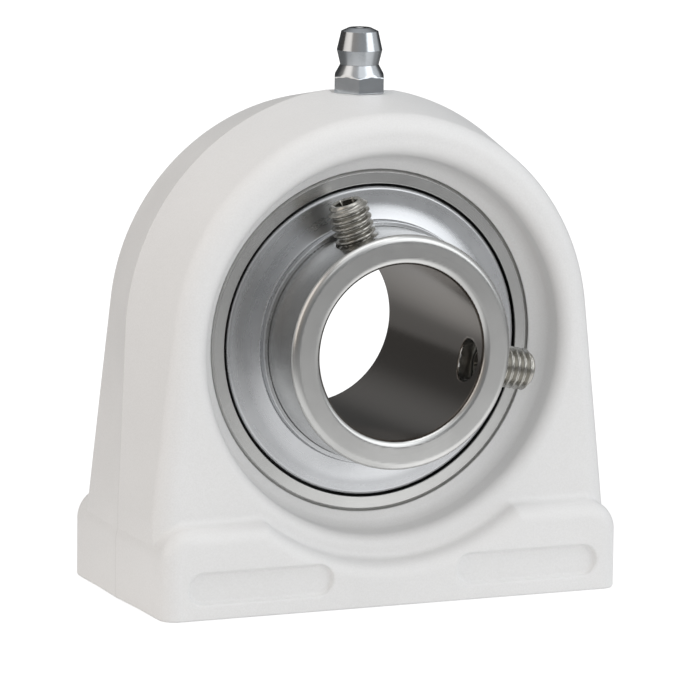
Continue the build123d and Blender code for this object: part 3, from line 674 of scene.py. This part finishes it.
def build_thread_tree():
    """Geometry Nodes: a screw thread as one sleeve round +Z, its ridge faded out at both ends."""
    tree = bpy.data.node_groups.new("rolled_thread", "GeometryNodeTree")
    for key in ("Root Radius", "Depth", "Pitch", "Bottom", "Top", "Fade"):
        tree.interface.new_socket(key, in_out="INPUT", socket_type="NodeSocketFloat")
    for key in ("Round", "Rows"):
        tree.interface.new_socket(key, in_out="INPUT", socket_type="NodeSocketInt")
    tree.interface.new_socket("Finish", in_out="INPUT", socket_type="NodeSocketMaterial")
    tree.interface.new_socket("Geometry", in_out="OUTPUT", socket_type="NodeSocketGeometry")
    inp = tree.nodes.new("NodeGroupInput").outputs
    out = tree.nodes.new("NodeGroupOutput").inputs

    def add(kind, inputs=None, **settings):
        return add_node(tree, kind, inputs, **settings)

    def calc(operation, *values):
        return math_node(tree, operation, *values)

    grid = add("GeometryNodeMeshGrid", {"Size X": 1.0, "Size Y": 1.0, "Vertices X": inp["Round"],
                                        "Vertices Y": inp["Rows"]})
    parts = add("ShaderNodeSeparateXYZ", {0: add("GeometryNodeInputPosition").outputs[0]}).outputs
    turn = calc("ADD", parts["X"], 0.5)
    z = calc("ADD", inp["Bottom"], calc("MULTIPLY", calc("ADD", parts["Y"], 0.5),
                                        calc("SUBTRACT", inp["Top"], inp["Bottom"])))
    phase = calc("FRACT", calc("SUBTRACT", calc("ADD", calc("DIVIDE", z, inp["Pitch"]), 50.0), turn))
    flank = calc("SUBTRACT", 1.0, calc("ABSOLUTE", calc("SUBTRACT", calc("MULTIPLY", phase, 2.0), 1.0)))
    smooth = ramp(tree, flank, *THREAD_FLANK, 0.0, 1.0)
    sharp = ramp(tree, flank, *THREAD_FLANK, 0.0, 1.0, "LINEAR")
    form = calc("ADD", calc("MULTIPLY", smooth, 1 - THREAD_SHARP), calc("MULTIPLY", sharp, THREAD_SHARP))
    low = calc("DIVIDE", calc("SUBTRACT", z, inp["Bottom"]), inp["Fade"])
    high = calc("DIVIDE", calc("SUBTRACT", inp["Top"], z), inp["Fade"])
    fade = calc("MAXIMUM", 0.0, calc("MINIMUM", 1.0, calc("MINIMUM", low, high)))
    radius = calc("ADD", inp["Root Radius"], calc("MULTIPLY", calc("MULTIPLY", form, inp["Depth"]), fade))
    angle = calc("MULTIPLY", turn, 2 * pi)
    place = add("ShaderNodeCombineXYZ", {0: calc("MULTIPLY", radius, calc("COSINE", angle)),
                                         1: calc("MULTIPLY", radius, calc("SINE", angle)), 2: z})
    moved = add("GeometryNodeSetPosition", {"Geometry": grid.outputs["Mesh"], "Position": place.outputs[0]})
    closed = add("GeometryNodeMergeByDistance", {"Geometry": moved.outputs[0], "Distance": 1e-7})
    real = add("GeometryNodeRealizeInstances", {"Geometry": closed.outputs[0]})
    painted = add("GeometryNodeSetMaterial", {"Geometry": real.outputs[0], "Material": inp["Finish"]})
    tree.links.new(painted.outputs[0], out["Geometry"])
    return tree


thread_tree = build_thread_tree()


def thread_sleeve(finish, **sizes):
    """Points in mm and quads of a thread made by the tree with these sizes."""
    holder = bpy.data.objects.new("thread_holder", bpy.data.meshes.new("thread_holder"))
    bpy.context.scene.collection.objects.link(holder)
    modifier = holder.modifiers.new("thread", "NODES")
    modifier.node_group = thread_tree
    keys = {s.name: s.identifier for s in thread_tree.interface.items_tree if s.in_out == "INPUT"}
    modifier[keys["Finish"]] = finish
    for name, value in sizes.items():
        modifier[keys[name.replace("_", " ").title()]] = value
    graph = bpy.context.evaluated_depsgraph_get()
    graph.update()
    mesh = bpy.data.meshes.new_from_object(holder.evaluated_get(graph))
    points = np.array([v.co[:] for v in mesh.vertices]) / MM
    quads = [list(p.vertices) for p in mesh.polygons]
    bpy.data.objects.remove(holder)
    return points, quads


def rings_mesh(name, rings, sleeve, *place):
    """A piece from rings of points in mm; each end is closed with a point if it has one, and a thread's
    sleeve joins on where its ends meet two of the rings."""
    mesh_points, faces, starts = [], [], []
    for ring in rings:
        starts.append(len(mesh_points))
        mesh_points += [tuple(p) for p in ring]
    for ring, following, start, start_following in zip(rings, rings[1:], starts, starts[1:]):
        if ring is GAP or following is GAP:
            continue
        for i in range(max(len(ring), len(following))):
            a, b = start + i % len(ring), start + (i + 1) % len(ring)
            c, d = start_following + (i + 1) % len(following), start_following + i % len(following)
            faces.append(list(dict.fromkeys((a, b, c, d))))
    offset = len(mesh_points)
    mesh_points += [tuple(p) for p in sleeve[0]]
    faces += [[v + offset for v in face] for face in sleeve[1]]
    work = bmesh.new()
    verts = [work.verts.new(Vector(p) * MM) for p in mesh_points]
    for face in faces:
        work.faces.new([verts[v] for v in face])
    bmesh.ops.remove_doubles(work, verts=work.verts, dist=2e-6)
    bmesh.ops.recalc_face_normals(work, faces=work.faces)
    mesh = bpy.data.meshes.new(name)
    work.to_mesh(mesh)
    work.free()
    mesh.polygons.foreach_set("use_smooth", [True] * len(mesh.polygons))
    mesh.set_sharp_from_angle(angle=radians(38))
    show(name, mesh, *place)


GAP = []                       # stands between two rings that a thread's sleeve joins
ROUND = 96                     # points round a ring


def circle(radius, z, sides=0):
    """A ring of points round the local Z axis; sides gives a polygon whose flats are at that radius."""
    out = []
    for k in range(ROUND):
        a = 2 * pi * k / ROUND
        size = radius
        if sides:
            size /= cos((a + pi / sides) % (2 * pi / sides) - pi / sides)
        out.append((size * cos(a), size * sin(a), z))
    return out


def placed(points, turn, y):
    """Points in a set screw's own frame moved to its place in the inner ring."""
    matrix = Matrix.Translation((0, y, SHAFT_Z)) @ Matrix.Rotation(radians(turn), 4, "Y")
    return [tuple(matrix @ Vector(p)) for p in points]


def set_screw(name, turn, body, slot, node):
    """Set screw with a rolled thread, a hexagon socket and a cup point with a star-shaped hollow."""
    low, high = SCREW_TIP, SCREW_TIP + SCREW_LENGTH
    point, chamfer = low + SCREW_POINT, high - SCREW_CHAMFER
    sleeve, quads = thread_sleeve(screw_steel, root_radius=SCREW_ROOT_R * MM,
                                  depth=(SCREW_R - SCREW_RIDGE_GAP - SCREW_ROOT_R) * MM,
                                  pitch=SCREW_PITCH * MM, bottom=point * MM, top=chamfer * MM,
                                  fade=0.55 * MM, round=ROUND + 1, rows=110)
    star, (radius, depth, swing) = [], SCREW_STAR
    for x, y, z in circle(radius, low + depth):
        reach = 1 + swing * cos(5 * atan2(y, x))
        star.append((x * reach, y * reach, z))
    width, drop = SOCKET_CHAMFER
    end = high - SOCKET_DEPTH
    rings = [[(0, 0, low + SCREW_CUP_DEPTH)], star, circle(SCREW_CUP_R, low), circle(SCREW_CUP_RIM_R, low),
             circle(SCREW_ROOT_R, point), GAP, circle(SCREW_ROOT_R, chamfer),
             circle(SCREW_ROOT_R - SCREW_CHAMFER, high), circle(SOCKET_HALF + width, high),
             circle(SOCKET_HALF, high - drop, 6), circle(SOCKET_HALF, end, 6), [(0, 0, end - SOCKET_TIP)]]
    rings = [ring if ring is GAP else placed(ring, turn, SCREW_Y) for ring in rings]
    rings_mesh(name, rings, (placed(sleeve, turn, SCREW_Y), quads), screw_steel, body, slot, node)


def base_insert(name, side, node):
    """Bush with three holding grooves outside and a thread inside."""
    bore, chamfer, top = BOLT_HOLE_R, INSERT_CHAMFER, INSERT_LENGTH - INSERT_CHAMFER
    sleeve, quads = thread_sleeve(insert_steel, root_radius=bore * MM, depth=INSERT_RIDGE * MM,
                                  pitch=INSERT_PITCH * MM, bottom=chamfer * MM, top=top * MM,
                                  fade=0.9 * MM, round=ROUND + 1, rows=130)
    profile = [(bore, chamfer), (bore + chamfer, 0.0), (INSERT_R, 0.0)]
    for z in INSERT_GROOVES:
        below, above = z - INSERT_GROOVE_HALF, z + INSERT_GROOVE_HALF
        inner = INSERT_R - INSERT_GROOVE_DEPTH
        profile += [(INSERT_R, below), (inner, below), (inner, above), (INSERT_R, above)]
    profile += [(INSERT_R, INSERT_LENGTH), (bore + chamfer, INSERT_LENGTH), (bore, top)]
    rings = [[(x + side * BOLT_X, y, z) for x, y, z in circle(r, height)] for r, height in profile]
    moved = [(x + side * BOLT_X, y, z) for x, y, z in sleeve]
    rings_mesh(name, rings, (moved, quads), insert_steel, "housing_unit", "insert_steel", node)


for turn, side in zip(SCREW_TURNS, ("left", "right")):
    set_screw(f"socket_set_screw_{side}", turn, f"set_screw_{side}_body", "screw_steel", f"set_screw_{side}")
for sign, side in ((-1, "left"), (1, "right")):
    base_insert(f"base_bush_{side}", sign, f"threaded_insert_{side}")

finishes = {"nipple_ball": ball_steel, "nipple_spring": spring_steel, "cage_rivets": sheet_steel}
for end in ("front", "rear"):
    finishes |= {f"seal_plate_{end}": sheet_steel, f"seal_rubber_{end}": rubber,
                 f"cage_half_{end}": sheet_steel}
finishes |= {f"ball_{n}": ball_steel for n in range(1, 10)}
for node, material in finishes.items():
    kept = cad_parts[node].data.materials
    kept.clear()
    kept.append(material)

# ---------------------------------------------------------------- camera
CENTRE = Vector((0, 0, SHAFT_Z * MM))
CAMERA_AZIMUTH, CAMERA_HEIGHT, CAMERA_ROLL = radians(-23.549), radians(9.645), radians(0.79)
CAMERA_OFFSET = (0.333, -2.669, 759.1)  # mm to the right, up and back from the bearing's centre
FOCAL_LENGTH = 5286.2 / 700    # over the sensor's width
back = Vector((sin(CAMERA_AZIMUTH) * cos(CAMERA_HEIGHT), -cos(CAMERA_AZIMUTH) * cos(CAMERA_HEIGHT),
               sin(CAMERA_HEIGHT)))
right = Vector((cos(CAMERA_AZIMUTH), sin(CAMERA_AZIMUTH), 0))
up = back.cross(right)
right, up = (right * cos(CAMERA_ROLL) + up * sin(CAMERA_ROLL),
             up * cos(CAMERA_ROLL) - right * sin(CAMERA_ROLL))
camera_data = bpy.data.cameras.new("camera")
camera_data.sensor_width = 36.0
camera_data.lens = camera_data.sensor_width * FOCAL_LENGTH
camera_data.clip_start = 0.01
camera = bpy.data.objects.new("camera", camera_data)
bpy.context.scene.collection.objects.link(camera)
place = CENTRE + sum((way * step * MM for way, step in zip((right, up, back), CAMERA_OFFSET)), Vector())
camera.matrix_world = Matrix.Translation(place) @ Matrix((right, up, back)).transposed().to_4x4()
bpy.context.scene.camera = camera
bpy.context.scene.view_settings.view_transform = "Standard"


# ---------------------------------------------------------------- light and floor
FILL = 0.595
# soft panels on the studio's walls: (left, right, low and high edge in radians), brightness
PANELS = (((0.35, 1.0, 0.08, 1.5), 0.7), ((1.0, 1.7, 0.0, 1.2), 0.3), ((-2.0, -1.25, 0.0, 0.9), 0.4),
          ((-0.5, 0.35, 0.5, 1.3), 0.5))
FLOOR_CORNERS = ((-0.9, -0.4), (0.9, -0.4), (0.9, 1.0), (-0.9, 1.0))  # in metres


def lamp(name, azimuth, height, distance, width, tall, power, colour=(1, 1, 1)):
    """Soft area lamp that faces the bearing; azimuth 0 is straight in front, positive to the right."""
    light = bpy.data.lights.new(name, "AREA")
    light.shape, light.size, light.size_y, light.energy, light.color = "RECTANGLE", width, tall, power, colour
    holder = bpy.data.objects.new(name, light)
    bpy.context.scene.collection.objects.link(holder)
    a, e = radians(azimuth), radians(height)
    away = Vector((sin(a) * cos(e), -cos(a) * cos(e), sin(e)))
    holder.location = CENTRE + away * distance
    holder.rotation_euler = away.to_track_quat("Z", "Y").to_euler()
    holder.visible_camera = False


lamp("soft_left", -92, 26, 0.9, 0.8, 0.8, 0.8, (1.0, 0.93, 0.86))
lamp("soft_right", 38, 27, 0.9, 0.65, 0.75, 1.15, (0.97, 0.985, 1.0))
lamp("soft_top", -10, 80, 0.9, 0.7, 0.6, 1.2)


def panel(tree, azimuth, height, left, right, low, high, soft=0.1):
    """1 inside a soft-edged panel of the studio's wall, bounded by azimuths and heights in radians."""
    sides = [ramp(tree, azimuth, edge - soft, edge + soft, 1 - on, on) for edge, on in ((left, 1), (right, 0))]
    ends = [ramp(tree, height, edge - soft, edge + soft, 1 - on, on) for edge, on in ((low, 1), (high, 0))]
    return math_node(tree, "MULTIPLY", math_node(tree, "MULTIPLY", *sides), math_node(tree, "MULTIPLY", *ends))


def build_studio():
    """World: white to the camera and through clear pieces, an even fill, and walls with soft panels for
    mirror-like pieces, warmer on the left."""
    world = bpy.data.worlds.new("studio")
    bpy.context.scene.world = world
    world.use_nodes = True
    tree = world.node_tree
    background = tree.nodes["Background"].inputs
    paths = add_node(tree, "ShaderNodeLightPath").outputs
    toward = add_node(tree, "ShaderNodeTexCoord").outputs["Generated"]
    toward = add_node(tree, "ShaderNodeSeparateXYZ", {0: toward}).outputs
    azimuth, height = azimuth_of(tree, toward), math_node(tree, "ARCSINE", toward["Z"])
    front = ramp(tree, toward["Z"], -0.1, 0.9, 0.2, 0.5, "LINEAR")
    rear = ramp(tree, toward["Z"], 0.33, 1.0, 0.06, 0.6, "LINEAR")
    behind = ramp(tree, toward["Y"], -0.1, 0.5, 0.0, 1.0)
    mirrored = add_node(tree, "ShaderNodeMix", {0: behind, 2: front, 3: rear}).outputs[0]
    for bounds, shine in PANELS:
        shown = math_node(tree, "MULTIPLY", panel(tree, azimuth, height, *bounds), shine)
        mirrored = math_node(tree, "ADD", mirrored, shown)
    fill = ramp(tree, toward["Y"], -1.0, 0.1, FILL * 1.32, FILL * 0.93, "LINEAR")
    seen = math_node(tree, "MAXIMUM", paths["Is Camera Ray"], paths["Is Transmission Ray"])
    unseen = add_node(tree, "ShaderNodeMix", {0: paths["Is Glossy Ray"], 2: fill, 3: mirrored}).outputs[0]
    strength = add_node(tree, "ShaderNodeMix", {0: seen, 2: unseen, 3: 1.0}).outputs[0]
    tree.links.new(strength, background["Strength"])
    warm = ramp(tree, toward["X"], -0.9, -0.1, 1.0, 0.0)
    tone = mixed(tree, warm, (0.985, 1.0, 1.015), (1.08, 1.0, 0.93))
    tree.links.new(mixed(tree, seen, tone, (1.0, 1.0, 1.0)), background["Color"])


def build_floor_finish():
    """Pale matt floor that keeps the shadow and shows white to the camera; to mirror-like pieces it glows as
    light, brighter close to the bearing and dimmer behind it, with a soft streak of light to the front right."""
    material = bpy.data.materials.new("pale_floor")
    material.use_nodes = True
    tree = material.node_tree
    tree.nodes.clear()
    paths = add_node(tree, "ShaderNodeLightPath").outputs
    place = add_node(tree, "ShaderNodeTexCoord").outputs["Object"]
    away = add_node(tree, "ShaderNodeVectorMath", {0: place}, operation="LENGTH").outputs["Value"]
    parts = add_node(tree, "ShaderNodeSeparateXYZ", {0: place}).outputs
    azimuth = azimuth_of(tree, parts)
    streak = math_node(tree, "MULTIPLY", ramp(tree, azimuth, 0.1, 0.34, 0.0, 0.36),
                       ramp(tree, azimuth, 0.9, 1.3, 1.0, 0.0))
    streak = math_node(tree, "MULTIPLY", streak, ramp(tree, away, 0.2, 0.38, 1.0, 0.1))
    mirrored = math_node(tree, "ADD", streak, ramp(tree, away, 0.05, 0.17, 0.95, 0.29))
    mirrored = math_node(tree, "MULTIPLY", mirrored, ramp(tree, parts["Y"], 0.0, 0.06, 1.0, 0.45))
    mirrored = math_node(tree, "MULTIPLY", mirrored, paths["Is Glossy Ray"])
    shine = math_node(tree, "ADD", math_node(tree, "MULTIPLY", paths["Is Camera Ray"], 1.22), mirrored)
    glow = add_node(tree, "ShaderNodeEmission", {"Color": (1, 1, 1, 1), "Strength": shine}).outputs[0]
    far = ramp(tree, away, 0.06, 0.3, 0.72, 0.9, "LINEAR")
    share = math_node(tree, "ADD", math_node(tree, "MULTIPLY", paths["Is Camera Ray"], far),
                      math_node(tree, "MULTIPLY", paths["Is Glossy Ray"], 0.95))
    matt = add_node(tree, "ShaderNodeBsdfDiffuse", {"Color": (0.92, 0.92, 0.92, 1)}).outputs[0]
    mix = add_node(tree, "ShaderNodeMixShader", {0: share, 1: matt, 2: glow}).outputs[0]
    tree.links.new(mix, add_node(tree, "ShaderNodeOutputMaterial").inputs["Surface"])
    return material


build_studio()
floor_mesh = bpy.data.meshes.new("floor")
floor_mesh.from_pydata([(x, y, -0.00002) for x, y in FLOOR_CORNERS], [], [(0, 1, 2, 3)])
floor_mesh.materials.append(build_floor_finish())
floor = bpy.data.objects.new("floor", floor_mesh)
bpy.context.scene.collection.objects.link(floor)
